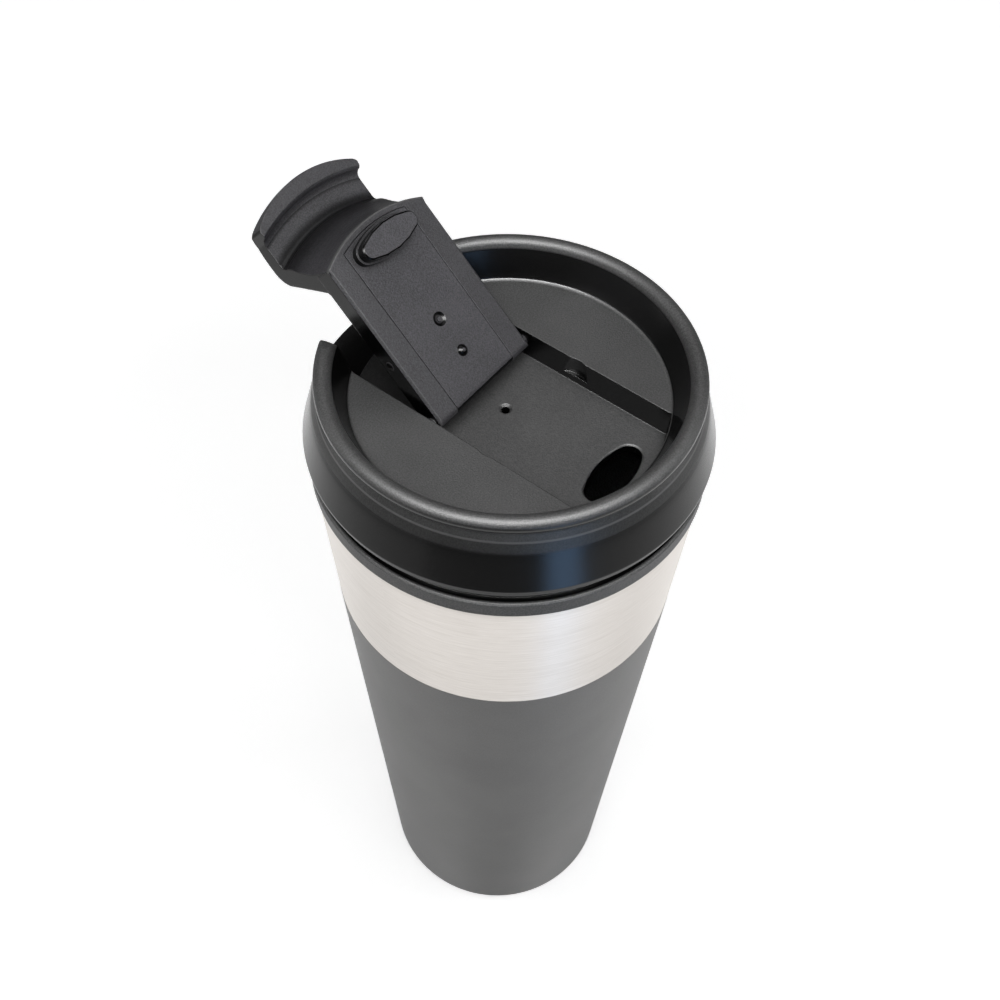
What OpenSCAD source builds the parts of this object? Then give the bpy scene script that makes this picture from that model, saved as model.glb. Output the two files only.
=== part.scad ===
// Insulated travel mug with a push-in lid and a flip lever.
// The axis of the mug is Z, the table is z = 0 and the drink hole looks towards -Y.
// The lever is drawn partly open, as it stands in use.

/* [Outer shell] */
// Height of the shell's top edge above the table
shell_h = 183; // [150:1:220]
// Outer radius of the shell at the table
shell_base_r = 31.9; // [29:0.1:34]
// Outer radius of the shell at its top edge
shell_top_r = 41.1; // [40:0.1:44]
// Thickness of the steel sheet
steel_t = 0.6; // [0.4:0.1:0.8]
// Outer radius of the bend at the foot of the shell
foot_bend_r = 1.6; // [1.2:0.1:2.5]
// Width of the turned-in lip at the foot of the shell
foot_lip_w = 4; // [3:0.5:6]

/* [Inner liner] */
// Inner radius of the liner just above its bottom bend
liner_base_r = 28.2; // [24:0.1:28.8]
// Height of the liner's underside above the table
liner_floor_z = 10; // [8:0.5:20]
// Inner radius of the bend round the liner's bottom
liner_bend_r = 7; // [4:0.5:10]
// Height of the straight neck at the top of the liner
liner_neck_h = 9; // [6:0.5:12]

/* [Base] */
// Thickness of the base plate's rim, which sits on the shell's foot lip
base_rim_t = 2.2; // [1.6:0.1:3]
// Radius of the foot pad
pad_r = 22; // [16:0.5:24]
// Thickness of the foot pad
pad_t = 1.6; // [1.2:0.1:2]
// How far the foot pad stands below the shell
pad_proud = 0.6; // [0.4:0.1:0.8]

/* [Collar] */
// How far the collar stands proud of the shell
collar_proud = 0.4; // [0.2:0.1:0.8]
// Height of the collar's outer band
collar_band_h = 4.2; // [3:0.1:6]
// Width of the ledge between the band and the drinking rim
ledge_w = 1.9; // [1.5:0.1:2.2]
// Height of the collar's drinking rim above the band
collar_rim_h = 6.3; // [5.5:0.1:8]
// Thickness of the collar's drinking rim
collar_rim_t = 2.2; // [1.9:0.1:2.6]
// Depth of the collar's spigot inside the shell
spigot_h = 11; // [8:0.5:14]
// Depth of the collar's own lip above the liner's top edge, inside the shell
lip_h = 3; // [2:0.1:4]
// Width of the liner seal's section
liner_seal_w = 1; // [0.8:0.1:1.2]
// Height of the liner seal's section
liner_seal_h = 1.5; // [1.2:0.1:2]

/* [Lid] */
// How far the lid's flare stands proud of the collar
flare_proud = 0.6; // [0.3:0.1:1.2]
// Gap between the flare's lower edge and the collar's band
flare_gap = 3.5; // [2.5:0.1:4.5]
// How far the rim bead is set in from the flare
rim_setback = 3.5; // [3:0.1:4.2]
// Thickness of the rim bead
rim_t = 3.5; // [3:0.1:4]
// How far the rim's inner wall leans in, from the bead down to the decks
rim_lean = 2.9; // [2:0.1:3.5]
// Height of the rim above the side decks
deck_drop = 8.3; // [7:0.1:10]
// How far each wall of the lever's channel leans in, from deck to floor
channel_lean = 0.8; // [0.4:0.1:1]
// Thickness of the lid's walls
lid_t = 2; // [1.8:0.1:2.4]
// Thickness of the sill that the rear notch leaves above the collar
sill_t = 1.4; // [1.2:0.1:2]
// Depth of the lid's skirt below the collar's rim
skirt_h = 16; // [12:0.5:18]
// Number of stiffening ribs under the rim
rim_ribs = 16; // [10:2:20]

/* [Lid openings] */
// Half length of the drink hole, across the lid
hole_half_l = 8.2; // [7:0.1:9]
// Half width of the drink hole
hole_half_w = 3.7; // [3.4:0.1:3.8]
// Radius of the drink hole's ends
hole_end_r = 2.6; // [2:0.1:2.8]
// Distance from the lid's axis to the middle of the drink hole
hole_out = 25.5; // [24:0.1:25.6]
// Radius of the vent hole
vent_r = 0.9; // [0.8:0.05:1]
// Distance from the lid's axis back to the vent hole
vent_back = 1.1; // [0:0.1:2]

/* [Lever] */
// Width of the lever's blade at its hinge end
blade_w = 28.4; // [26:0.2:29]
// How far each side of the blade leans in, from the hinge end to the web
blade_lean = 0.4; // [0:0.05:1]
// Thickness of the lever's blade
blade_t = 5.3; // [4.8:0.1:6]
// Distance from the hinge to the end of the blade
blade_end = 1.5; // [1.5:0.05:1.6]
// Radius of the hinge stubs
stub_r = 1.4; // [1.2:0.1:1.4]
// Length of each hinge stub
stub_l = 2.4; // [2:0.1:2.8]
// Opening angle at which the lever is drawn
open_angle = 138; // [90:1:175]
// How far the tab is wider than the blade's front, on each side
tab_flare = 0.4; // [0.4:0.05:0.9]
// How far the thumb tab reaches beyond the rim
tab_reach = 6.2; // [6:0.1:8]
// Radius of the tab's rounded end
tab_end_r = 26.3; // [24:0.1:30]
// Height of the tab's top above the rim
tab_rise = 4.2; // [3.8:0.1:4.6]
// Thickness of the web that climbs from the blade to the tab
web_t = 3.6; // [3:0.1:4]

/* [Lever seal] */
// Width of the seal's pad
seal_w = 18; // [18:0.2:20]
// Thickness of the seal's pad
seal_t = 2.2; // [1.9:0.1:2.4]
// How far the plug stands out of the pad
plug_h = 3.8; // [3:0.1:4.2]
// How far the vent nub stands out of the pad
nub_h = 0.75; // [0.6:0.05:0.8]
// Radius of the vent nub where it leaves the pad
nub_r = 1.25; // [1.1:0.05:1.3]

/* [Clearances] */
// Gap between pieces that are fixed together
fit_gap = 0.1; // [0.05:0.05:0.15]
// Gap between pieces that move past each other
run_gap = 0.3; // [0.2:0.05:0.35]
// Gap on each side of the blade at the channel's floor
side_gap = 0.4; // [0.3:0.05:0.6]
// Gap between the lever's bend and the flare when the lever lies fully back
fold_gap = 0.8; // [0.6:0.1:1.5]
// Gap between the gasket and the collar's bore
gasket_gap = 0.15; // [0.1:0.05:0.2]
// Gap round the plug in the drink hole
plug_gap = 0.35; // [0.3:0.05:0.5]

/* [Hidden] */
$fn = 96;
// Overshoot of cutting shapes
over = 1;
// Thickness of the faces that a taper joins
skin = 0.01;
// Eased edge of a moulded piece
edge_r = 0.4;

// Body levels and radii
shell_z = pad_proud;
taper = (shell_top_r - shell_base_r) / (shell_h - shell_z);
function shell_r(z) = shell_base_r + taper * (z - shell_z);
foot_hole_r = shell_base_r - foot_bend_r - foot_lip_w;
spigot_z = shell_h - spigot_h;
liner_top_z = shell_h - lip_h;
liner_seal_z = spigot_z + 2.5;

// Collar levels and radii, from the shell upwards and inwards
collar_r = shell_top_r + collar_proud;
band_z = shell_h + collar_band_h;
seat_z = band_z + collar_rim_h;
rim_out_r = collar_r - ledge_w;
bore_r = rim_out_r - collar_rim_t;
liner_out_r = bore_r + steel_t;

// Lid levels, stacked from the collar's rim upwards
lid_z = seat_z + fit_gap;
floor_z = lid_z + sill_t;
deck_z = floor_z + run_gap + blade_t;
rim_z = deck_z + deck_drop;
trough_z = floor_z - lid_t;
skirt_z = seat_z - skirt_h;
flare_z = band_z + flare_gap;

// Lid radii, from the flare inwards
flare_r = collar_r + flare_proud;
rim_r = flare_r - rim_setback;
bead_r = rim_t / 2;
bead_x = rim_r - bead_r;
bead_z = rim_z - bead_r;
deck_r = rim_r - rim_t - rim_lean;
floor_end_r = deck_r - 0.5;
cavity_r = rim_out_r + run_gap;
skirt_r = bore_r - 0.8;

// Gasket groove in the skirt
gasket_z = seat_z - 9;
gasket_h = 4;
gasket_in_r = skirt_r - 1.2;

// Lever's channel, sized round the blade
floor_half_w = blade_w / 2 + side_gap;
channel_half_w = floor_half_w + channel_lean;
// Half width of the rear notch's rounded mouth, outside the flare
mouth_half_w = channel_half_w + 6;

// Lever levels and radii in its closed place
blade_z = floor_z + run_gap;
hinge_z = blade_z + blade_t / 2;
front_r = floor_end_r - 1.2;
wall_r = front_r + 0.5;
web_r = wall_r - web_t;
tab_r = rim_r + tab_reach;
tab_z = rim_z + tab_rise;
tab_half_w = blade_w / 2 - blade_lean + tab_flare;

// The hinge stands far enough back for the bend to pass the flare
function depth_at(r, x) = sqrt(r * r - x * x);
hinge_back = (depth_at(flare_r, blade_w / 2) - depth_at(web_r, blade_w / 2) + fold_gap) / 2;
blade_back = hinge_back + blade_end;
// Half width of the blade at a distance in front of the axis
function blade_half(out) = blade_w / 2 - blade_lean * (blade_back + out) / (blade_back + front_r);

// Nubs on the blade's sides, with scallops for them in the channel's walls
detent_out = 5.6;
detent_r = 1.4;
detent_proud = 0.45;

// Points on an arc about [x, y], from angle a to angle b
function arc(x, y, r, a, b, n = 8) =
    [for (i = [0 : n]) let (t = a + (b - a) * i / n) [x + r * cos(t), y + r * sin(t)]];

// Points on a smooth bend that leaves a and reaches c along their lines to b
function bend(a, b, c, n = 8) =
    [for (i = [0 : n]) let (t = i / n) (1 - t) * (1 - t) * a + 2 * t * (1 - t) * b + t * t * c];

// Point on the way from a to b
function toward(a, b, part) = a + (b - a) * part;

// Oval of four tangent arcs, its long axis along X
module oval(half_l, half_w, end_r) {
    mid_x = half_l - end_r;
    side_r = (half_w * half_w + mid_x * mid_x - end_r * end_r) / (2 * (half_w - end_r));
    strip = mid_x * side_r / (side_r - end_r);
    intersection() {
        translate([0, half_w - side_r]) circle(side_r);
        translate([0, side_r - half_w]) circle(side_r);
        square([2 * strip, 2 * half_w], center = true);
    }
    for (s = [-1, 1]) translate([s * mid_x, 0]) circle(end_r);
}

// Oval that grows from its foot to its top
module oval_taper(half_l, half_w, end_r, grow, h) {
    hull() {
        linear_extrude(skin) oval(half_l, half_w, end_r, $fn = 32);
        translate([0, 0, h - skin]) linear_extrude(skin)
            oval(half_l + grow, half_w + grow, end_r + grow, $fn = 32);
    }
}

// Bar along Y with the given section in X and Z
module bar_y(from_y, to_y) {
    translate([0, to_y, 0]) rotate([90, 0, 0]) linear_extrude(to_y - from_y) children();
}

// Turns the lever's pieces from their closed place to the drawn angle
module opened() {
    translate([0, hinge_back, hinge_z])
        rotate([-open_angle, 0, 0])
            translate([0, -hinge_back, -hinge_z])
                children();
}

// Drawn steel wall with a rounded, turned-in foot
module outer_shell() {
    bend_z = shell_z + foot_bend_r;
    bend_x = shell_r(bend_z) - foot_bend_r;
    outline = concat(
        [[shell_top_r - steel_t, shell_h], [shell_top_r, shell_h]],
        arc(bend_x, bend_z, foot_bend_r, 0, -90),
        [[foot_hole_r, shell_z], [foot_hole_r, shell_z + steel_t]],
        arc(bend_x, bend_z, foot_bend_r - steel_t, -90, 0));
    color([0.44, 0.44, 0.44]) rotate_extrude() polygon(outline);
}

// Drawn steel cup that hangs in the collar
module inner_liner() {
    neck_z = liner_top_z - liner_neck_h;
    bend_z = liner_floor_z + steel_t + liner_bend_r;
    bend_x = liner_base_r - liner_bend_r;
    outline = concat(
        [[0, liner_floor_z]],
        arc(bend_x, bend_z, liner_bend_r + steel_t, -90, 0, 10),
        [[liner_out_r, neck_z], [liner_out_r, liner_top_z], [bore_r, liner_top_z], [bore_r, neck_z]],
        arc(bend_x, bend_z, liner_bend_r, 0, -90, 10),
        [[0, liner_floor_z + steel_t]]);
    color([0.75, 0.75, 0.75]) rotate_extrude() polygon(outline);
}

// Moulded ring: its spigot fills the gap between the walls and its rim is the cup's own lip
module collar_ring() {
    round_r = collar_rim_t / 2;
    spigot_r = liner_out_r + fit_gap;
    color([0.2, 0.2, 0.2]) rotate_extrude() difference() {
        union() {
            polygon([
                [spigot_r, spigot_z],
                [shell_r(spigot_z) - steel_t - fit_gap, spigot_z],
                [shell_top_r - steel_t - fit_gap, shell_h],
                [collar_r - edge_r, shell_h],
                [collar_r, shell_h + edge_r],
                [collar_r, band_z - edge_r],
                [collar_r - edge_r, band_z],
                [rim_out_r, band_z],
                [rim_out_r, seat_z - round_r],
                [bore_r, seat_z - round_r],
                [bore_r, liner_top_z],
                [spigot_r, liner_top_z]]);
            intersection() {
                translate([bore_r + round_r, seat_z - round_r]) circle(round_r);
                translate([bore_r, seat_z - round_r]) square([collar_rim_t, round_r]);
            }
        }
        translate([spigot_r - over, liner_seal_z]) square([liner_seal_w + over, liner_seal_h]);
    }
}

// Ring between the collar's spigot and the liner
module liner_seal() {
    half_gap = fit_gap / 2;
    color([0.85, 0.85, 0.82]) rotate_extrude()
        translate([liner_out_r + half_gap, liner_seal_z + half_gap])
            square([liner_seal_w, liner_seal_h - fit_gap]);
}

// Stepped plate that sits on the shell's foot lip and carries the foot pad
module base_cap() {
    rim_foot_z = shell_z + steel_t;
    plate_r = shell_base_r - foot_bend_r - fit_gap;
    boss_r = foot_hole_r - fit_gap;
    color([0.16, 0.16, 0.16]) difference() {
        union() {
            translate([0, 0, rim_foot_z]) cylinder(r = plate_r, h = base_rim_t);
            translate([0, 0, shell_z]) cylinder(r = boss_r, h = base_rim_t);
        }
        translate([0, 0, pad_t - over * 2]) cylinder(r = pad_r + fit_gap, h = over * 2);
    }
}

// Non-slip pad with two shallow ring grooves
module foot_pad() {
    groove_w = 1.5;
    groove_d = 0.5;
    color([0.1, 0.1, 0.1]) difference() {
        cylinder(r = pad_r, h = pad_t);
        for (part = [0.4, 0.7]) rotate_extrude()
            translate([pad_r * part, -over]) square([groove_w, groove_d + over]);
    }
}

// Section of the lid without its channel: skirt, deck, leaning rim, bead, shoulder and flare
module lid_section() {
    lean = atan2(rim_lean, bead_z - deck_z);
    // Flare: lower edge, widest line and rounded shoulder
    cavity_draft = 0.6;
    lower_in = 0.5;
    belly_r = 1.4;
    belly = [flare_r, flare_z + 1.7];
    shoulder = [flare_r - 2.4, rim_z - 7.7];
    // Neck band between the crease and the bead
    crease = [rim_r + 0.05, rim_z - 5.2];
    neck_r = rim_r - 0.8;
    neck_drop = 3.7;
    // Fillet between the decks and the rim's inner wall
    fillet_r = 1;
    difference() {
        polygon(concat(
            [[0, deck_z - lid_t], [skirt_r - lid_t, deck_z - lid_t], [skirt_r - lid_t, skirt_z]],
            [[skirt_r - edge_r, skirt_z], [skirt_r, skirt_z + edge_r], [skirt_r, lid_z]],
            [[cavity_r, lid_z], [cavity_r + cavity_draft, flare_z], [flare_r - lower_in, flare_z]],
            arc(belly[0] - belly_r, belly[1], belly_r, -50, 10, 6),
            bend(toward(belly, shoulder, 0.8), shoulder, toward(shoulder, crease, 0.6), 4),
            [crease, [neck_r, rim_z - neck_drop]],
            arc(bead_x, bead_z, bead_r, -50, 180 - lean, 24),
            arc(deck_r - fillet_r / 2, deck_z + fillet_r, fillet_r, -lean, -90, 5),
            [[0, deck_z]]));
        translate([gasket_in_r, gasket_z]) square([skirt_r, gasket_h]);
    }
}

// Annular core under the rim, between ribs and away from the rear notch
module rim_core() {
    core_in_r = skirt_r + 0.6;
    core_out_r = cavity_r - 1.4;
    core_draft = 0.8;
    core_top_z = rim_z - 6.5;
    rib_t = 1.2;
    difference() {
        translate([0, 0, lid_z - skin]) difference() {
            cylinder(r1 = core_out_r, r2 = core_out_r - core_draft, h = core_top_z - lid_z);
            translate([0, 0, -over]) cylinder(r = core_in_r, h = core_top_z);
        }
        for (i = [0 : rim_ribs - 1]) rotate([0, 0, 360 / rim_ribs * (i + 0.5)])
            translate([0, -rib_t / 2, lid_z - over]) cube([flare_r, rib_t, rim_z]);
        translate([-mouth_half_w, 0, lid_z - over]) cube([2 * mouth_half_w, flare_r, rim_z]);
    }
}

// Trough that carries the channel's floor and walls, with bosses round the hinge sockets
module trough() {
    boss_w = channel_half_w + 4.2;
    boss_half_l = 4;
    wall_w = channel_half_w + lid_t;
    depth = deck_z - trough_z - edge_r;
    translate([0, 0, trough_z]) intersection() {
        union() {
            translate([-wall_w, -flare_r, 0]) cube([2 * wall_w, 2 * flare_r, depth]);
            translate([-boss_w, hinge_back - boss_half_l, 0]) cube([2 * boss_w, 2 * boss_half_l, depth]);
        }
        cylinder(r = skirt_r - lid_t / 2, h = depth);
    }
}

// Outline with its mirror image across the Y axis, from one half of it
function both_halves(half) = concat(half, [for (i = [len(half) - 1 : -1 : 0]) [-half[i][0], half[i][1]]]);

// Space of the lever's channel: it ends at the rim in front and runs out through the rim behind
module channel_space() {
    // The rim's cut ends fall off towards the notch
    end_w = channel_half_w + 5;
    end_h = 5;
    section = both_halves(concat(
        [[floor_half_w, floor_z], [channel_half_w, deck_z]],
        bend([channel_half_w, rim_z - end_h], [channel_half_w, rim_z], [end_w, rim_z]),
        [[end_w, rim_z + over]]));
    // Seen from above, their outer corners are rounded off
    mouth_from = deck_r - 3.7;
    mouth_turn = deck_r - 0.7;
    mouth_end = rim_r - 1.1;
    mouth = both_halves(concat(
        bend([channel_half_w, mouth_from], [channel_half_w, mouth_turn], [mouth_half_w, mouth_end]),
        [[mouth_half_w, flare_r + over]]));
    bar_y(0, flare_r + over) polygon(section);
    translate([0, 0, floor_z]) linear_extrude(rim_z - floor_z + over) polygon(mouth);
    intersection() {
        bar_y(-flare_r, skin) polygon(section);
        translate([0, 0, floor_z]) cylinder(r1 = floor_end_r, r2 = deck_r, h = deck_z - floor_z + skin);
    }
    // Above the decks the space between the rim's walls is open already
    translate([0, 0, deck_z]) intersection() {
        cylinder(r = deck_r, h = deck_drop);
        translate([-channel_half_w, -flare_r, 0]) cube([2 * channel_half_w, flare_r, deck_drop]);
    }
}

// Drink hole with an eased upper edge
module drink_hole() {
    ease = 0.3;
    translate([0, -hole_out, trough_z - over])
        linear_extrude(lid_t + 2 * over) oval(hole_half_l, hole_half_w, hole_end_r);
    translate([0, -hole_out, floor_z - ease])
        oval_taper(hole_half_l, hole_half_w, hole_end_r, ease + skin, ease + skin);
}

// Vent hole with a countersunk seat for the nub
module vent_hole() {
    seat_h = 0.5;
    translate([0, vent_back, trough_z - over]) cylinder(r = vent_r, h = lid_t + 2 * over);
    translate([0, vent_back, floor_z - seat_h])
        cylinder(r1 = vent_r, r2 = vent_r + seat_h + skin, h = seat_h + skin);
}

// Sockets for the hinge stubs and scallops for the detent nubs
module channel_wall_cuts() {
    scallop_r = 4 * detent_r;
    scallop_d = 0.3;
    scallop_up = 1.5;
    socket_l = blade_w / 2 + stub_l + 2 * run_gap;
    socket_r = stub_r + run_gap / 2;
    for (s = [-1, 1]) {
        translate([0, hinge_back, hinge_z]) rotate([0, s * 90, 0]) cylinder(r = socket_r, h = socket_l);
        translate([s * (channel_half_w + scallop_d - scallop_r), -detent_out, floor_z + scallop_up])
            cylinder(r = scallop_r, h = deck_z - floor_z);
    }
}

// Moulded lid
module lid_body() {
    color([0.17, 0.17, 0.18]) difference() {
        union() {
            difference() {
                rotate_extrude() lid_section();
                rim_core();
            }
            trough();
        }
        channel_space();
        drink_hole();
        vent_hole();
        channel_wall_cuts();
    }
}

// Silicone ring with two sealing lips
module lid_gasket() {
    in_r = gasket_in_r + fit_gap / 2;
    lip_r = bore_r - gasket_gap;
    foot_z = gasket_z + fit_gap / 2;
    top_z = gasket_z + gasket_h - fit_gap / 2;
    lip_pitch = 2;
    lips = [for (i = [0, 1]) each let (z = foot_z + 0.5 + i * lip_pitch)
        [[skirt_r, z], [lip_r, z + 0.45], [lip_r, z + 0.7], [skirt_r, z + 1.1]]];
    color([0.8, 0.8, 0.78]) rotate_extrude()
        polygon(concat([[in_r, foot_z], [skirt_r, foot_z]], lips, [[skirt_r, top_z], [in_r, top_z]]));
}

// Section of the lever's front: web, hook over the rim bead, and thumb tab
module hook_section() {
    root_r = front_r - 9;
    // Groove over the bead
    groove_in_r = bead_x - bead_r - 0.5;
    groove_z = rim_z + 0.7;
    groove_in_round = 1;
    groove_out_round = 2;
    // Rounded roll between the web's hollow front and the groove
    roll_from = [groove_in_r - 1.3, bead_z - 1.5];
    roll_top = [groove_in_r, bead_z + 0.5];
    // Lip outside the bead
    lip_in_r = rim_r + 2.6;
    lip_z = bead_z - 0.1;
    lip_edge = 0.5;
    tip_edge = 0.2;
    // Rounded end of the tab and rounded brow behind it
    tip_lean = 0.5;
    top_w = 8;
    brow_r = rim_r - 3.4;
    brow_round = 4;
    polygon(concat(
        [[root_r, hinge_z]],
        bend([front_r, blade_z], [front_r + 0.3, deck_z + 1], roll_from),
        bend(roll_from, roll_top, [groove_in_r - 0.1, groove_z - groove_in_round]),
        arc(groove_in_r + groove_in_round, groove_z - groove_in_round, groove_in_round, 170, 90, 6),
        arc(lip_in_r - groove_out_round, groove_z - groove_out_round, groove_out_round, 90, 0, 6),
        [[lip_in_r, lip_z + lip_edge], [lip_in_r + lip_edge, lip_z], [tab_r - tip_edge, lip_z]],
        bend([tab_r, lip_z + tip_edge], [tab_r - tip_lean, tab_z - tip_edge], [tab_r - top_w, tab_z]),
        arc(brow_r, tab_z - brow_round, brow_round, 95, 150, 5),
        [[web_r, deck_z]]));
}

// Plan outline of the lever's front, with a rounded tab
module tab_outline() {
    corner_r = 2;
    flare_from = rim_r - 0.6;
    flare_to = rim_r + 2.4;
    // The web's sides stand just inside the blade's
    side_in = 0.1;
    waist = blade_half(flare_from) - side_in;
    root_w = blade_half(0) - side_in;
    arc_y = tab_end_r - tab_r;
    corner_x = tab_half_w - corner_r;
    corner_y = arc_y - depth_at(tab_end_r - corner_r, corner_x);
    turn = asin(corner_x / (tab_end_r - corner_r));
    wedge = 2 * corner_r;
    difference() {
        intersection() {
            polygon([[-root_w, 0], [root_w, 0], [waist, -flare_from],
                     [tab_half_w, -flare_to], [tab_half_w, -tab_r], [-tab_half_w, -tab_r],
                     [-tab_half_w, -flare_to], [-waist, -flare_from]]);
            union() {
                translate([0, arc_y]) circle(tab_end_r);
                translate([-root_w, -front_r]) square([2 * root_w, front_r]);
            }
        }
        for (s = [0, 1]) mirror([s, 0]) translate([corner_x, corner_y]) difference() {
            polygon([[0, 0], [wedge, 0], [wedge, -wedge], [wedge * sin(turn), -wedge * cos(turn)]]);
            circle(corner_r);
        }
    }
}

// Everything on the inner side of one long face of the blade, with its edges eased
module blade_side() {
    ease = 0.5;
    translate([blade_w / 2, blade_back, 0])
        rotate([0, 0, -atan2(blade_lean, blade_back + front_r)])
            bar_y(-2 * tab_r, tab_r) polygon([
                [-2 * blade_w, blade_z], [-ease, blade_z], [0, blade_z + ease],
                [0, deck_z - ease], [-ease, deck_z], [-2 * blade_w, deck_z]]);
}

// Flat blade that narrows towards the web, with a rounded hinge end
module blade() {
    half = blade_w / 2;
    end_r = 1.3;
    intersection() {
        translate([-half, 0, blade_z]) rotate([90, 0, 90]) linear_extrude(blade_w)
            polygon(concat([[-front_r, 0]],
                arc(blade_back - end_r, end_r, end_r, -90, 0, 4),
                arc(blade_back - end_r, blade_t - end_r, end_r, 0, 90, 4),
                [[-front_r, blade_t]]));
        blade_side();
        mirror([1, 0, 0]) blade_side();
        translate([0, 0, blade_z - over]) cylinder(r = front_r, h = blade_t + 2 * over);
    }
}

// Pad of the seal, also the pocket for it in the blade's underside
module seal_pad(gap, below) {
    front_margin = 1.2;
    intersection() {
        translate([gap - seal_w / 2, -front_r, blade_z - below])
            cube([seal_w - 2 * gap, front_r + blade_back + over, seal_t - gap + below]);
        translate([0, 0, blade_z - over]) cylinder(r = front_r - front_margin - gap, h = blade_t);
    }
}

// Moulded lever: blade, hook, hinge stubs, detent nubs and a pocket for the seal
module flip_lever() {
    half = blade_w / 2;
    hook_from = front_r / 2;
    detent_x = blade_half(detent_out) + detent_proud - detent_r;
    color([0.2, 0.2, 0.21]) opened() difference() {
        union() {
            blade();
            intersection() {
                rotate_extrude() hook_section();
                translate([0, 0, blade_z - over]) linear_extrude(tab_z) tab_outline();
                translate([-tab_r, -2 * tab_r - hook_from, 0]) cube([2 * tab_r, 2 * tab_r, 2 * tab_z]);
            }
            translate([-half - stub_l, hinge_back, hinge_z]) rotate([0, 90, 0])
                cylinder(r = stub_r, h = blade_w + 2 * stub_l);
            for (s = [-1, 1]) translate([s * detent_x, -detent_out, hinge_z]) sphere(detent_r);
        }
        seal_pad(0, over);
    }
}

// Soft insert: pad, stepped oval plug for the drink hole and nub for the vent
module lever_seal() {
    // The plug's foot fills the hole and its end is smaller, to swing in freely
    foot_h = 1.5;
    foot_l = hole_half_l - plug_gap;
    foot_w = hole_half_w - plug_gap;
    foot_end_r = hole_end_r - plug_gap;
    step_w = 0.4;
    ease = 0.3;
    inset = step_w + ease;
    root = seal_t / 2;
    nub_ball = (nub_r * nub_r + nub_h * nub_h) / (2 * nub_h);
    // Moulding gate: a dish with a stub left in its middle
    gate_out = detent_out + 1;
    gate_r = 1.5;
    gate_d = 0.45;
    gate_ball = (gate_r * gate_r + gate_d * gate_d) / (2 * gate_d);
    stub_end_r = 0.45;
    color([0.22, 0.22, 0.23]) opened() {
        difference() {
            intersection() {
                seal_pad(fit_gap, 0);
                blade();
            }
            translate([0, -gate_out, blade_z + gate_d - gate_ball]) sphere(gate_ball);
        }
        translate([0, -hole_out, blade_z]) {
            translate([0, 0, -foot_h]) linear_extrude(foot_h + root) oval(foot_l, foot_w, foot_end_r);
            translate([0, 0, ease - plug_h]) linear_extrude(plug_h - ease)
                oval(foot_l - step_w, foot_w - step_w, foot_end_r - step_w);
            translate([0, 0, -plug_h])
                oval_taper(foot_l - inset, foot_w - inset, foot_end_r - inset, ease, ease);
        }
        translate([0, vent_back, blade_z + nub_ball - nub_h]) sphere(nub_ball);
        translate([0, -gate_out, blade_z + fit_gap]) cylinder(r = stub_end_r, h = root);
    }
}

outer_shell();
inner_liner();
collar_ring();
liner_seal();
base_cap();
foot_pad();
lid_body();
lid_gasket();
flip_lever();
lever_seal();
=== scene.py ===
"""Looks of the insulated travel mug: brushed and coated steel, moulded lid and lever, studio stage.

Everything is in metres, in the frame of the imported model: Z up, the drink hole towards -Y.
"""

import math

import bmesh
import bpy
from mathutils import Matrix, Vector


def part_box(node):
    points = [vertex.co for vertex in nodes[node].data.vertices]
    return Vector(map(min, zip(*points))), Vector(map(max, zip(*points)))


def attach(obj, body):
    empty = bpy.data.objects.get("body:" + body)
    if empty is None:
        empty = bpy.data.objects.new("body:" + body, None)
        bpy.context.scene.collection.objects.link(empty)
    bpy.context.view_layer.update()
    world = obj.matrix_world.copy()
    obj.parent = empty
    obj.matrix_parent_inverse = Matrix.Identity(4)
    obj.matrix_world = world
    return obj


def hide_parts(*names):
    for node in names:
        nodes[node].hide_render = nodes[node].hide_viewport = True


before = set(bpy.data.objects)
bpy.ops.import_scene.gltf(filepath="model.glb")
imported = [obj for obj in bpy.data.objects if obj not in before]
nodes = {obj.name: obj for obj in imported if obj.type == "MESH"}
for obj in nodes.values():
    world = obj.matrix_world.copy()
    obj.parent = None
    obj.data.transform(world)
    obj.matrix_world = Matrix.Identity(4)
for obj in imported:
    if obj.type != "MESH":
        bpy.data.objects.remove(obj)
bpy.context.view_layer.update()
MM = 0.001

# Sizes that the frame gives
shell_low, shell_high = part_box("outer_shell")
lid_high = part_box("lid_body")[1]
SHELL_TOP_R = (shell_high.x - shell_low.x) / 2
SHELL_FOOT_Z = shell_low.z
SHELL_TOP_Z = shell_high.z
RIM_Z = lid_high.z

# Sizes that repeat the solid's own
SHELL_BASE_R = 31.9 * MM
STEEL_T = 0.6 * MM
FOOT_BEND_R = 1.6 * MM
FOOT_LIP_W = 4 * MM
BEAD_R = 36.85 * MM
BEAD_Z = RIM_Z - 1.75 * MM
DECK_R = 32.2 * MM
DECK_Z = RIM_Z - 8.3 * MM
NECK_R = 37.4 * MM
CHANNEL_Z = 195 * MM
CHANNEL_HALF_W = 14.6 * MM
COLLAR_BAND_Z = 187.2 * MM
COLLAR_R = 41.5 * MM
CREASE_R = 38.65 * MM
CREASE_Z = RIM_Z - 5.2 * MM
SHOULDER_Z = RIM_Z - 7.7 * MM
HINGE = Vector((0, 8.5, 197.95)) * MM
OPEN_ANGLE = math.radians(138)
BLADE_FRONT_R = 30.5 * MM
BLADE_UNDER_Z = 195.3 * MM
GROOVE_IN_R = 34.6 * MM
LIP_IN_R = 41.2 * MM

# The coat on the shell
PAINT_TOP_Z = 144.3 * MM
PAINT_T = 0.06 * MM
LATHE_STEPS = 256
SHARP_ANGLE = math.radians(40)

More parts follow.
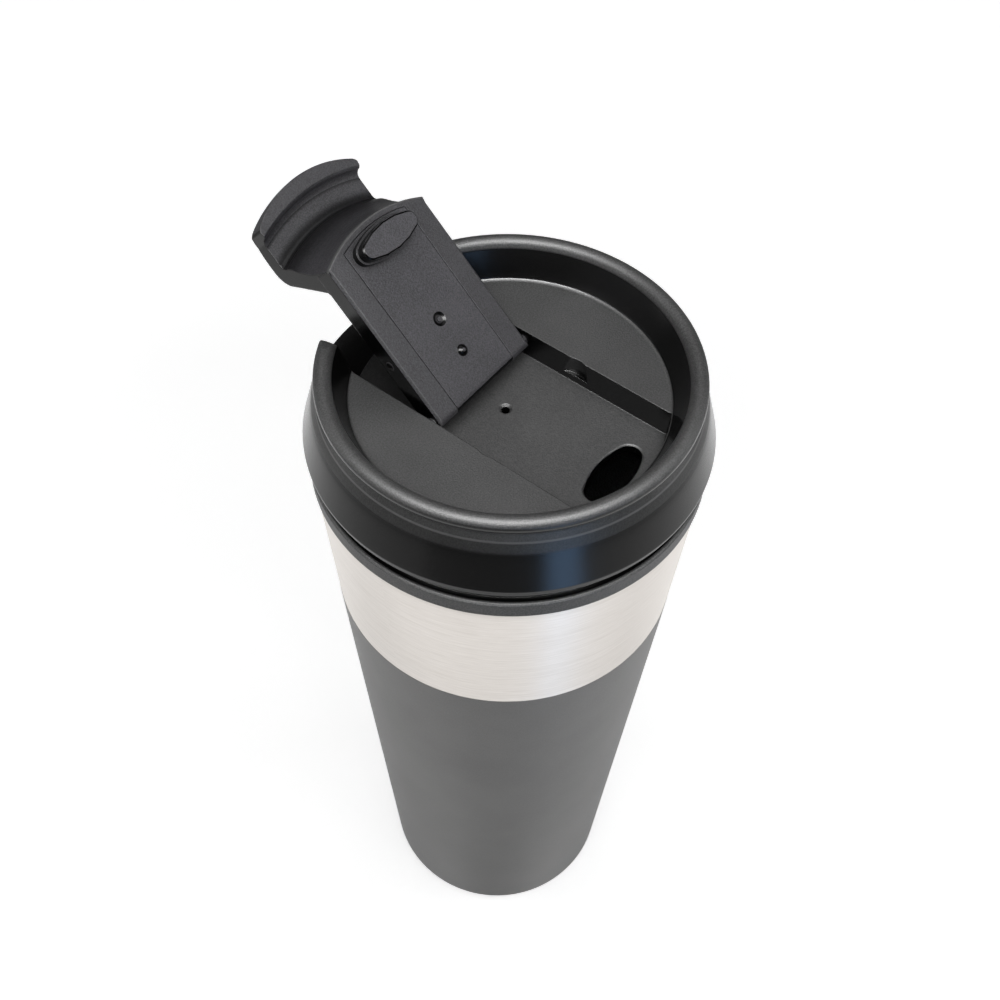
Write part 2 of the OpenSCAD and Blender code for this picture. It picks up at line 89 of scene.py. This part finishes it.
# Grain of the finishes: size of the features and depth of the relief
BRUSH_LINE = 0.12 * MM
BRUSH_BAND = 0.7 * MM
BRUSH_STRETCH = 0.02
BRUSH_DEPTH = 0.006 * MM
PEEL_SIZE = 0.9 * MM
PEEL_FINE = 0.22 * MM
PEEL_CLOUD = 22 * MM
PEEL_DEPTH = 0.012 * MM
MOULD_CLOUD = 14 * MM
SAND_SIZE = 0.34 * MM
SAND_FINE = 0.12 * MM
SAND_CLOUD = 16 * MM
SAND_DEPTH = 0.065 * MM
# Reach of the painted shade in corners and grooves
PAINTED_SHADE_REACH = 2 * MM

# Black plastic: grey levels and roughness
BLASTED_LEVEL = 0.059
BLASTED_ROUGH = 0.5
POLISHED_LEVELS = 0.0005, 0.002
POLISHED_ROUGH = 0.22
# Grey of edge wear and of painted highlight lines, and the share of it on edges
WEAR_AND_HIGHLIGHT_LEVEL = 0.15
EDGE_WEAR_AND_HIGHLIGHT = 0.2
LEVER_VIOLET = 0.08

# The photograph's camera: heading clockwise from +Y, pitch below the horizon and roll, in degrees
VIEW_HEADING = 53.534
VIEW_PITCH = 53.261
VIEW_ROLL = 1.526
VIEW_POINT = Vector((-0.134616, -0.097596, 0.387548))
LENS_MM = 45.024
SENSOR_MM = 36

# Stage: strength of the floor's glow as the camera and as reflections meet it
FLOOR_HALF = 6.0
FLOOR_GLOW = 0.57
FAR_GLOW = 0.72
MIRRORED_GLOW = 1.0
FAR_MIRRORED_GLOW = 0.18
# Share of the floor's reflected glow left near the foot: painted shadow
FOOT_SHADOW_MIRRORED_SHARE = 0.2
FLOOR_SEEN_LEVEL = 0.8
# Floor's grey for the light it throws back: dark near the foot as painted shadow, lighter beyond
FLOOR_LIGHTING_LEVELS = 0.05, 0.4
WORLD_LEVEL = 0.05
CARD_OUT = 0.3
CARD_H = 0.32
LAMP_AIM_Z = RIM_Z * 0.8

# Distances from the mug's foot between which the floor changes
# Span of the painted shadow near the foot, in reflections and thrown-back light
FOOT_SHADOW_SPAN = 0.04, 0.16
NEAR_TO_FAR = 0.22, 0.4
FAR_TO_WHITE = 0.35, 0.8

# Lamps: heading 0 is beyond the mug as the photograph sees it, and angles are in degrees, power in watts
LAMPS = {
    "key_box": dict(heading=180, pitch=56, distance=0.8, size=(0.6, 0.1), power=1.8),
    "shine_box": dict(heading=180, pitch=65, distance=0.5, size=(0.62, 0.24), power=14.5, shine_only=True),
    "back_box": dict(heading=0, pitch=66, distance=1.1, size=(0.8, 0.6), power=2.4),
    "window_box": dict(heading=125, pitch=40, distance=1.1, size=(0.4, 0.4), power=1.4),
    "front_box": dict(heading=-130, pitch=24, distance=0.6, size=(0.3, 0.3), power=0.26),
    "left_box": dict(heading=-90, pitch=12, distance=0.55, size=(0.3, 0.4), power=0.75),
    "right_box": dict(heading=90, pitch=12, distance=0.55, size=(0.3, 0.4), power=0.9),
}


# Node helpers


def fresh_tree(owner):
    """Empty node tree of a material or a world."""
    owner.use_nodes = True
    owner.node_tree.nodes.clear()
    return owner.node_tree


def add(tree, kind, values=None, **settings):
    """A node with its settings and its input values; a socket given as a value is linked."""
    made = tree.nodes.new(kind)
    for key, value in settings.items():
        setattr(made, key, value)
    for key, value in (values or {}).items():
        if isinstance(value, bpy.types.NodeSocket):
            tree.links.new(value, made.inputs[key])
        else:
            made.inputs[key].default_value = value
    return made


def calc(tree, operation, *values):
    """Output of a Math node."""
    return add(tree, "ShaderNodeMath", dict(enumerate(values)), operation=operation).outputs[0]


def product(tree, first, *others):
    """All the values multiplied."""
    for other in others:
        first = calc(tree, "MULTIPLY", first, other)
    return first


def largest(tree, first, *others):
    """The largest of the values."""
    for other in others:
        first = calc(tree, "MAXIMUM", first, other)
    return first


def weigh(tree, *terms):
    """Sum of terms, each a value and the share that it counts for."""
    total = 0.0
    for value, share in terms:
        total = calc(tree, "MULTIPLY_ADD", value, share, total)
    return total


def apart(tree, value, place):
    """How far a value is from a place, on either side."""
    return calc(tree, "ABSOLUTE", calc(tree, "SUBTRACT", value, place))


def vector_calc(tree, operation, output, *values):
    """Named output of a Vector Math node."""
    made = add(tree, "ShaderNodeVectorMath", dict(enumerate(values)), operation=operation)
    return made.outputs[output]


def split(tree, vector):
    """The three parts of a vector."""
    return add(tree, "ShaderNodeSeparateXYZ", {0: vector}).outputs


def step(tree, value, low, high):
    """Smooth 0 to 1 as value goes from low to high."""
    values = {"Value": value, "From Min": low, "From Max": high}
    return add(tree, "ShaderNodeMapRange", values, interpolation_type="SMOOTHSTEP").outputs[0]


def between(tree, factor, low, high):
    """Number that goes from low to high as factor goes from 0 to 1."""
    values = {"Value": factor, "To Min": low, "To Max": high}
    return add(tree, "ShaderNodeMapRange", values).outputs[0]


def mix(tree, factor, first, second):
    """Colour between first and second."""
    values = {0: factor, 6: first, 7: second}
    return add(tree, "ShaderNodeMix", values, data_type="RGBA").outputs[2]


def noise(tree, point, size, detail=2.0, roughness=0.5):
    """Noise from 0 to 1 with features of the given size in metres."""
    values = {"Vector": point, "Scale": 1 / size, "Detail": detail, "Roughness": roughness}
    return add(tree, "ShaderNodeTexNoise", values).outputs[0]


def shade(level, warmth=0.0, violet=0.0):
    """Grey of the given level, a little warmer, or a little violet."""
    return (level * (1 + warmth), level * (1 - violet / 3), level * (1 - warmth + violet), 1)


def noise_tone(tree, value, dark, light):
    """Colour from dark to light over the middle of a noise's range, where most of it lies."""
    return mix(tree, step(tree, value, 0.3, 0.7), dark, light)


class Surface:
    """A material under construction: its tree, its shader and the places it is mapped by."""

    def __init__(self, name, **sockets):
        self.material = bpy.data.materials.new(name)
        self.tree = fresh_tree(self.material)
        self.shader = add(self.tree, "ShaderNodeBsdfPrincipled")
        self.set(**sockets)
        add(self.tree, "ShaderNodeOutputMaterial", {"Surface": self.shader.outputs[0]})
        places = add(self.tree, "ShaderNodeTexCoord").outputs
        self.point, self.normal = places["Object"], places["Normal"]
        self.x, self.y, self.z = split(self.tree, self.point)

    def set(self, **values):
        """Sets or links the shader's sockets."""
        for key, value in values.items():
            socket = self.shader.inputs[key.replace("_", " ")]
            if isinstance(value, bpy.types.NodeSocket):
                self.tree.links.new(value, socket)
            else:
                socket.default_value = value

    def radius(self, point):
        """Distance of a point from the mug's axis."""
        flat = vector_calc(self.tree, "MULTIPLY", "Vector", point, (1, 1, 0))
        return vector_calc(self.tree, "LENGTH", "Value", flat)

    def soft_edges(self, size):
        """Normal that rounds sharp edges off by size, and a mask of those edges."""
        rounded = add(self.tree, "ShaderNodeBevel", {"Radius": size}, samples=6).outputs[0]
        normal = add(self.tree, "ShaderNodeNewGeometry").outputs["Normal"]
        likeness = vector_calc(self.tree, "DOT_PRODUCT", "Value", rounded, normal)
        return rounded, step(self.tree, calc(self.tree, "SUBTRACT", 1.0, likeness), 0.02, 0.3)

    def painted_corner_shade(self):
        """Mask that is 1 in the open and falls to 0 in corners and grooves, where colours are darkened as
        painted shade.
        """
        values = {"Distance": PAINTED_SHADE_REACH}
        open_sky = add(self.tree, "ShaderNodeAmbientOcclusion", values, samples=6, only_local=True)
        return step(self.tree, open_sky.outputs["AO"], 0.25, 0.95)

    def bump(self, height, depth, normal=None):
        """Puts a relief of the given depth in metres on the shader."""
        values = {"Height": height, "Distance": depth}
        if normal is not None:
            values["Normal"] = normal
        self.set(Normal=add(self.tree, "ShaderNodeBump", values).outputs[0])


# Materials


def brushed_steel():
    """Bare steel, turned while it was brushed: fine lines run round the mug."""
    s = Surface("brushed_steel", Metallic=1.0, Anisotropic=0.8, Anisotropic_Rotation=0.25)
    t = s.tree
    along = product(t, calc(t, "ARCTAN2", s.y, s.x), SHELL_TOP_R, BRUSH_STRETCH)
    stretched = add(t, "ShaderNodeCombineXYZ", {0: along, 1: s.z}).outputs[0]
    lines = noise(t, stretched, BRUSH_LINE, detail=3.0, roughness=0.6)
    bands = noise(t, stretched, BRUSH_BAND)
    tone = weigh(t, (lines, 0.7), (bands, 0.3))
    s.set(Base_Color=noise_tone(t, tone, shade(0.52, warmth=0.065), shade(0.65, warmth=0.05)))
    s.set(Roughness=between(t, tone, 0.28, 0.4))
    s.set(Tangent=add(t, "ShaderNodeTangent", direction_type="RADIAL", axis="Z").outputs[0])
    s.bump(lines, BRUSH_DEPTH)
    return s.material


def coat_paint():
    """Matte powder coat with a very fine peel."""
    s = Surface("coat_paint", Specular_IOR_Level=0.2, Sheen_Weight=1.0, Sheen_Roughness=0.36)
    t = s.tree
    peel = noise(t, s.point, PEEL_SIZE)
    fine = noise(t, s.point, PEEL_FINE, detail=1.0)
    cloud = noise(t, s.point, PEEL_CLOUD)
    tone = weigh(t, (fine, 0.5), (cloud, 0.5))
    s.set(Base_Color=noise_tone(t, tone, shade(0.205, warmth=0.01), shade(0.26, warmth=0.01)))
    s.set(Roughness=between(t, peel, 0.42, 0.52))
    s.bump(weigh(t, (peel, 1.0), (fine, 0.4)), PEEL_DEPTH)
    return s.material


def moulded(name, level, grain, depth, rough, metallic=0.0):
    """Plain piece: fine grain, slow drift of colour, edges lighter as wear and painted highlight, corners
    darkened as painted shade.
    """
    s = Surface(name, Metallic=metallic)
    t = s.tree
    rounded, edge = s.soft_edges(0.25 * MM)
    sand = noise(t, s.point, grain, roughness=0.65)
    cloud = noise(t, s.point, MOULD_CLOUD)
    tone = weigh(t, (cloud, 0.3), (sand, 0.7))
    colour = noise_tone(t, tone, shade(level * 0.75), shade(level * 1.25))
    # Edges lighter: partly wear, partly painted highlight
    colour = mix(t, product(t, edge, 0.3), colour, shade(level * 2.2))
    # Corners and grooves darkened as painted shade
    s.set(Base_Color=mix(t, s.painted_corner_shade(), shade(level * 0.2), colour))
    s.set(Roughness=between(t, sand, rough - 0.06, rough + 0.06))
    s.bump(sand, depth, rounded)
    return s.material


def two_finishes(s, sandy, painted_highlights, rounded, edge, level=1.0, grain=0.45, violet=0.0):
    """Black plastic: sand-blasted where sandy is 1, polished where it is 0, lighter on painted highlights and
    on edges (wear and painted highlight), darkened in corners as painted shade.
    """
    t = s.tree
    sand = noise(t, s.point, SAND_SIZE, roughness=0.75)
    fine = noise(t, s.point, SAND_FINE, detail=1.0)
    cloud = noise(t, s.point, SAND_CLOUD)
    tone = step(t, weigh(t, (fine, 0.2), (sand, 0.55), (cloud, 0.25)), 0.32, 0.68)
    polished = mix(t, tone, *map(shade, POLISHED_LEVELS))
    dark = shade(BLASTED_LEVEL * level * (1 - grain), violet=violet)
    light = shade(BLASTED_LEVEL * level * (1 + grain), violet=violet)
    colour = mix(t, sandy, polished, mix(t, tone, dark, light))
    # Lighter on painted highlight lines and on edges, the edges partly wear and partly painted highlight
    colour = mix(t, largest(t, painted_highlights, product(t, edge, EDGE_WEAR_AND_HIGHLIGHT)), colour, shade(WEAR_AND_HIGHLIGHT_LEVEL))
    # Corners and grooves take the polished colour as painted shade
    s.set(Base_Color=mix(t, s.painted_corner_shade(), polished, colour))
    s.set(Roughness=between(t, sandy, POLISHED_ROUGH, BLASTED_ROUGH))
    relief = product(t, sand, between(t, sandy, 0.1, 1.0))
    s.bump(weigh(t, (relief, 1.0), (fine, 0.1)), SAND_DEPTH, rounded)
    return s.material


def collar_plastic():
    """Collar: matte band, and a ledge darkened as painted shade in the gap under the lid's flare."""
    s = Surface("collar_plastic", Specular_IOR_Level=0.3)
    t = s.tree
    rounded, edge = s.soft_edges(0.25 * MM)
    # The ledge under the flare takes the polished colour as painted shade
    high = step(t, s.z, COLLAR_BAND_Z - 0.25 * MM, COLLAR_BAND_Z - 0.05 * MM)
    within = step(t, s.radius(s.point), COLLAR_R - 0.6 * MM, COLLAR_R - 1 * MM)
    sandy = between(t, product(t, high, within), 0.95, 0.0)
    return two_finishes(s, sandy, 0.0, rounded, product(t, edge, 0.5), level=1.5)


def ring_distance(s, radius, ring_r, ring_z):
    """Distance from a circle round the mug's axis, and its parts outwards and upwards."""
    across = calc(s.tree, "SUBTRACT", radius, ring_r)
    above = calc(s.tree, "SUBTRACT", s.z, ring_z)
    squares = calc(s.tree, "MULTIPLY_ADD", above, above, product(s.tree, across, across))
    return calc(s.tree, "SQRT", squares), across, above


def lid_flats(s, inside):
    """Mask of the lid's decks and channel floor; the floor behind the hinge is darkened as a painted shadow
    of the open lever.
    """
    t = s.tree
    upward = step(t, split(t, s.normal)[2], 0.5, 0.65)
    floor = step(t, s.z, CHANNEL_Z + 0.9 * MM, CHANNEL_Z + 0.5 * MM)
    decks = step(t, s.z, DECK_Z - 0.5 * MM, DECK_Z - 0.2 * MM)
    # Channel floor behind the hinge less blasted, so darker: painted shadow of the open lever
    behind = step(t, s.y, HINGE.y - 4 * MM, HINGE.y + 3 * MM)
    low = step(t, s.z, DECK_Z - 1 * MM, DECK_Z - 2 * MM)
    outside_lever_shadow = between(t, product(t, behind, low), 1.0, 0.4)
    return product(t, upward, inside, largest(t, floor, decks), outside_lever_shadow)


def lid_bead(s, radius):
    """Mask of the top of the rim's bead, down to a slanting line on either side."""
    t = s.tree
    far, across, above = ring_distance(s, radius, BEAD_R, BEAD_Z)
    outer = step(t, weigh(t, (above, 0.8), (across, -0.6)), -0.8 * MM, -0.3 * MM)
    inner = step(t, weigh(t, (above, 0.9), (across, 0.44)), -1.1 * MM, -0.5 * MM)
    return product(t, step(t, far, 2.3 * MM, 1.9 * MM), outer, inner)


def lid_band(s, outside):
    """Mask of the half-blasted band between the bead and the flare."""
    t = s.tree
    shoulder = step(t, s.z, SHOULDER_Z - 0.3 * MM, SHOULDER_Z + 0.7 * MM)
    neck = step(t, s.z, CREASE_Z - 0.3 * MM, CREASE_Z + 0.3 * MM)
    under = step(t, s.z, BEAD_Z - 1 * MM, BEAD_Z - 1.4 * MM)
    return product(t, weigh(t, (shoulder, 0.5), (neck, 0.15)), outside, under)


def lid_highlight_lines(s, radius, inside):
    """Mask of the painted highlight lines: the crease below the bead and the foot of the channel's walls."""
    t = s.tree
    crease = step(t, ring_distance(s, radius, CREASE_R, CREASE_Z)[0], 0.35 * MM, 0.1 * MM)
    line = step(t, apart(t, calc(t, "ABSOLUTE", s.x), CHANNEL_HALF_W), 0.5 * MM, 0.1 * MM)
    low = step(t, s.z, CHANNEL_Z + 0.3 * MM, CHANNEL_Z + 0.1 * MM)
    return largest(t, product(t, crease, 0.7), product(t, line, low, inside, 0.4))


def lid_plastic():
    """Lid: sand-blasted decks, channel floor and bead, polished walls and flare, with painted highlight lines
    and a painted shadow behind the hinge.
    """
    s = Surface("lid_plastic", Specular_IOR_Level=0.4)
    t = s.tree
    rounded, edge = s.soft_edges(0.3 * MM)
    radius = s.radius(s.point)
    inside = step(t, radius, DECK_R + 0.3 * MM, DECK_R)
    outside = step(t, radius, NECK_R - 0.2 * MM, NECK_R + 0.2 * MM)
    sandy = largest(t, lid_flats(s, inside), lid_bead(s, radius), lid_band(s, outside))
    # Painted highlight lines on the crease and at the foot of the channel's walls
    painted_highlights = lid_highlight_lines(s, radius, inside)
    return two_finishes(s, sandy, painted_highlights, rounded, product(t, edge, outside), grain=0.55)


def closed_place(s):
    """Place and facing of a point of the lever as they are when the lever is closed."""
    values = {"Vector": s.point, "Center": HINGE, "Angle": OPEN_ANGLE}
    place = add(s.tree, "ShaderNodeVectorRotate", values, rotation_type="X_AXIS").outputs[0]
    values.update(Vector=s.normal, Center=(0, 0, 0))
    return place, add(s.tree, "ShaderNodeVectorRotate", values, rotation_type="X_AXIS").outputs[0]


def seal_rubber():
    """Lever's seal: matte flat faces, darker sides of the plug, nub and gate."""
    s = Surface("seal_rubber", Specular_IOR_Level=0.15)
    t = s.tree
    rounded, edge = s.soft_edges(0.2 * MM)
    upright = split(t, closed_place(s)[1])[2]
    sandy = step(t, calc(t, "ABSOLUTE", upright), 0.93, 0.995)
    return two_finishes(s, sandy, 0.0, rounded, edge, level=1.35, violet=LEVER_VIOLET)


def lever_plastic():
    """Lever: polished sides and web, sand-blasted elsewhere, as zones of the closed lever; the groove under
    the lip is darkened as painted shade and a painted highlight runs along the blade's front edge.
    """
    s = Surface("lever_plastic", Specular_IOR_Level=0.2)
    t = s.tree
    rounded, edge = s.soft_edges(0.3 * MM)
    closed, facing = closed_place(s)
    sideways, backwards, _ = split(t, facing)
    radius = s.radius(closed)
    side = step(t, calc(t, "ABSOLUTE", sideways), 0.7, 0.85)
    web = step(t, radius, GROOVE_IN_R + 3 * MM, GROOVE_IN_R + 1 * MM)
    web_fade = between(t, step(t, radius, BLADE_FRONT_R + 1 * MM, GROOVE_IN_R), 0.2, 1.0)
    # Band of the groove under the lip darkened as painted shade
    groove_shade_start = step(t, radius, LIP_IN_R - 2.5 * MM, LIP_IN_R - 1 * MM)
    groove_shade_end = step(t, radius, LIP_IN_R + 0.3 * MM, LIP_IN_R)
    dark = largest(t, product(t, web, web_fade, 0.75), product(t, groove_shade_end, groove_shade_start))
    past_blade = step(t, radius, BLADE_FRONT_R, BLADE_FRONT_R + 0.4 * MM)
    not_back = step(t, backwards, 0.35, 0.2)
    sandy = calc(t, "SUBTRACT", 1.0, largest(t, side, product(t, past_blade, dark, not_back)))
    # Painted highlight along the blade's front edge
    front = step(t, apart(t, radius, BLADE_FRONT_R), 0.4 * MM, 0.1 * MM)
    under = step(t, split(t, closed)[2], BLADE_UNDER_Z + 1.2 * MM, BLADE_UNDER_Z + 0.6 * MM)
    painted_highlights = product(t, front, under, 0.8)
    return two_finishes(s, sandy, painted_highlights, rounded, edge, level=0.9, violet=LEVER_VIOLET)


# Mesh helpers


def lathe(name, outline, material):
    """Closed ring of revolution from an outline of (radius, height) points."""
    mesh = bpy.data.meshes.new(name)
    bm = bmesh.new()
    rings = []
    for i in range(LATHE_STEPS):
        turn = 2 * math.pi * i / LATHE_STEPS
        rings.append([bm.verts.new((r * math.cos(turn), r * math.sin(turn), z)) for r, z in outline])
    for i, ring in enumerate(rings):
        after = rings[(i + 1) % LATHE_STEPS]
        for k in range(len(outline)):
            j = (k + 1) % len(outline)
            bm.faces.new((ring[k], after[k], after[j], ring[j])).smooth = True
    bmesh.ops.recalc_face_normals(bm, faces=bm.faces)
    bm.to_mesh(mesh)
    bm.free()
    mesh.set_sharp_from_angle(angle=SHARP_ANGLE)
    return place_mesh(name, mesh, material)


def place_mesh(name, mesh, material):
    """Object in the scene that shows the mesh in the material."""
    mesh.materials.append(material)
    made = bpy.data.objects.new(name, mesh)
    bpy.context.scene.collection.objects.link(made)
    return made


def arc(x, y, r, start, end, count=10):
    """Points on an arc about (x, y), angles in degrees."""
    turns = [math.radians(start + (end - start) * i / count) for i in range(count + 1)]
    return [(x + r * math.cos(t), y + r * math.sin(t)) for t in turns]


# Shell: the bare steel wall, and the coat on its lower part


def shell_radius(z):
    """Radius of the tapered shell at a height."""
    share = (z - SHELL_FOOT_Z) / (SHELL_TOP_Z - SHELL_FOOT_Z)
    return SHELL_BASE_R + (SHELL_TOP_R - SHELL_BASE_R) * share


def make_shell():
    """Steel wall with its bent foot, and the coat up to the bare band."""
    bend_z = SHELL_FOOT_Z + FOOT_BEND_R
    bend_x = shell_radius(bend_z) - FOOT_BEND_R
    lip_r = SHELL_BASE_R - FOOT_BEND_R - FOOT_LIP_W
    top_r = shell_radius(PAINT_TOP_Z)
    outline = (
        [(SHELL_TOP_R - STEEL_T, SHELL_TOP_Z), (SHELL_TOP_R, SHELL_TOP_Z), (top_r, PAINT_TOP_Z)]
        + arc(bend_x, bend_z, FOOT_BEND_R, 0, -90)
        + [(lip_r, SHELL_FOOT_Z), (lip_r, SHELL_FOOT_Z + STEEL_T)]
        + arc(bend_x, bend_z, FOOT_BEND_R - STEEL_T, -90, 0)
    )
    steel = lathe("steel_shell", outline, brushed_steel())
    inside = [(top_r - PAINT_T, PAINT_TOP_Z)] + arc(bend_x, bend_z, FOOT_BEND_R - PAINT_T, 0, -90)
    outside = arc(bend_x, bend_z, FOOT_BEND_R + PAINT_T, -90, 0) + [
        (shell_radius(PAINT_TOP_Z - 2 * PAINT_T) + PAINT_T, PAINT_TOP_Z - 2 * PAINT_T),
        (top_r + PAINT_T / 2, PAINT_TOP_Z - PAINT_T / 2),
        (top_r, PAINT_TOP_Z),
    ]
    coat = lathe("shell_coat", inside + outside, coat_paint())
    for piece in (steel, coat):
        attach(piece, "cup")
        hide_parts("outer_shell")


make_shell()

finishes = {
    "inner_liner": moulded("liner_steel", 0.55, grain=0.4 * MM, depth=0.004 * MM, rough=0.3, metallic=1.0),
    "collar_ring": collar_plastic(),
    "liner_seal": moulded("clear_silicone", 0.55, grain=0.5 * MM, depth=0.01 * MM, rough=0.4),
    "base_cap": moulded("base_plastic", 0.04, grain=0.25 * MM, depth=0.02 * MM, rough=0.5),
    "foot_pad": moulded("pad_rubber", 0.025, grain=0.3 * MM, depth=0.03 * MM, rough=0.7),
    "lid_body": lid_plastic(),
    "lid_gasket": moulded("gasket_silicone", 0.55, grain=0.5 * MM, depth=0.01 * MM, rough=0.4),
    "flip_lever": lever_plastic(),
    "lever_seal": seal_rubber(),
}
for name, material in finishes.items():
    nodes[name].data.materials.clear()
    nodes[name].data.materials.append(material)


# Stage


def toward(heading, pitch=0.0):
    """Unit vector for a heading clockwise from +Y and a pitch above the horizon, in degrees."""
    turn, rise = math.radians(heading), math.radians(pitch)
    return Vector((math.sin(turn) * math.cos(rise), math.cos(turn) * math.cos(rise), math.sin(rise)))


def make_quad(name, corners, material):
    """Four-cornered piece of the stage."""
    mesh = bpy.data.meshes.new(name)
    mesh.from_pydata(corners, [], [(0, 1, 2, 3)])
    return place_mesh(name, mesh, material)


def floor_white():
    """Floor that is white to the camera, keeps the mug's shadow and is dimmer in reflections; near the foot
    it is darker in reflections and in the light it throws back, as painted shadow.
    """
    material = bpy.data.materials.new("stage_white")
    t = fresh_tree(material)
    path = add(t, "ShaderNodeLightPath").outputs
    seen = path["Is Camera Ray"]
    distance = vector_calc(t, "LENGTH", "Value", add(t, "ShaderNodeTexCoord").outputs["Object"])
    distant = step(t, distance, *NEAR_TO_FAR)
    # Fades out the painted shadow near the foot
    clear = step(t, distance, *FOOT_SHADOW_SPAN)
    mirrored = product(
        t,
        largest(t, path["Is Glossy Ray"], path["Is Transmission Ray"]),
        between(t, distant, MIRRORED_GLOW, FAR_MIRRORED_GLOW),
        between(t, clear, FOOT_SHADOW_MIRRORED_SHARE, 1.0),
    )
    white = largest(t, between(t, distant, FLOOR_GLOW, FAR_GLOW), step(t, distance, *FAR_TO_WHITE))
    glow = add(t, "ShaderNodeEmission", {"Strength": largest(t, product(t, seen, white), mirrored)})
    lighting = mix(t, clear, *map(shade, FLOOR_LIGHTING_LEVELS))
    matte = add(t, "ShaderNodeBsdfDiffuse", {"Color": mix(t, seen, lighting, shade(FLOOR_SEEN_LEVEL))})
    both = add(t, "ShaderNodeAddShader", {0: glow.outputs[0], 1: matte.outputs[0]})
    add(t, "ShaderNodeOutputMaterial", {"Surface": both.outputs[0]})
    return material


def make_floor():
    """Floor under the mug, out to the horizon."""
    corners = [(x * FLOOR_HALF, y * FLOOR_HALF, 0) for x, y in ((-1, -1), (1, -1), (1, 1), (-1, 1))]
    floor = make_quad("floor", corners, floor_white())


def make_card(name, start, end, colour):
    """Card that stands on the photograph's side, from start to end rightwards, for reflections only."""
    material = bpy.data.materials.new(name)
    t = fresh_tree(material)
    glow = add(t, "ShaderNodeEmission", {"Color": colour})
    add(t, "ShaderNodeOutputMaterial", {"Surface": glow.outputs[0]})
    foot = toward(VIEW_HEADING) * -CARD_OUT
    right = toward(VIEW_HEADING + 90)
    top = Vector((0, 0, CARD_H))
    low, high = foot + right * start, foot + right * end
    card = make_quad(name, [low, high, high + top, low + top], material)
    card.visible_camera = card.visible_diffuse = card.visible_shadow = False


def make_world():
    """World that the camera sees as white and that lights the mug only a little."""
    world = bpy.data.worlds.new("studio")
    t = fresh_tree(world)
    path = add(t, "ShaderNodeLightPath").outputs
    seen = largest(t, path["Is Camera Ray"], path["Is Transmission Ray"])
    values = {"Color": shade(1.0), "Strength": between(t, seen, WORLD_LEVEL, 1.0)}
    back = add(t, "ShaderNodeBackground", values)
    add(t, "ShaderNodeOutputWorld", {"Surface": back.outputs[0]})
    bpy.context.scene.world = world


def softbox(name, heading, pitch, distance, size, power, shine_only=False):
    """Rectangular lamp aimed at the steel band; it lights gloss only if shine_only is set."""
    out = toward(VIEW_HEADING + heading, pitch)
    lamp = bpy.data.lights.new(name, "AREA")
    lamp.shape = "RECTANGLE"
    lamp.size, lamp.size_y = size
    lamp.energy = power
    made = bpy.data.objects.new(name, lamp)
    made.location = Vector((0, 0, LAMP_AIM_Z)) + out * distance
    made.rotation_euler = (-out).to_track_quat("-Z", "Y").to_euler()
    made.visible_diffuse = not shine_only
    bpy.context.scene.collection.objects.link(made)


def make_camera():
    """The photograph's camera."""
    ahead = toward(VIEW_HEADING, -VIEW_PITCH)
    right = toward(VIEW_HEADING + 90)
    up = right.cross(ahead)
    roll = math.radians(VIEW_ROLL)
    across = right * math.cos(roll) + up * math.sin(roll)
    above = up * math.cos(roll) - right * math.sin(roll)
    camera = bpy.data.cameras.new("camera")
    camera.lens = LENS_MM
    camera.sensor_width = SENSOR_MM
    made = bpy.data.objects.new("camera", camera)
    made.matrix_world = Matrix.Translation(VIEW_POINT) @ Matrix((across, above, -ahead)).transposed().to_4x4()
    bpy.context.scene.collection.objects.link(made)
    bpy.context.scene.camera = made


make_floor()
make_card("dark_card", -0.22, 0.09, shade(0.2))
make_card("window_card", 0.1, 0.2, (1.1, 1.8, 2.9, 1))
make_world()
for name, lamp in LAMPS.items():
    softbox(name, **lamp)
make_camera()
bpy.context.scene.view_settings.view_transform = "Standard"
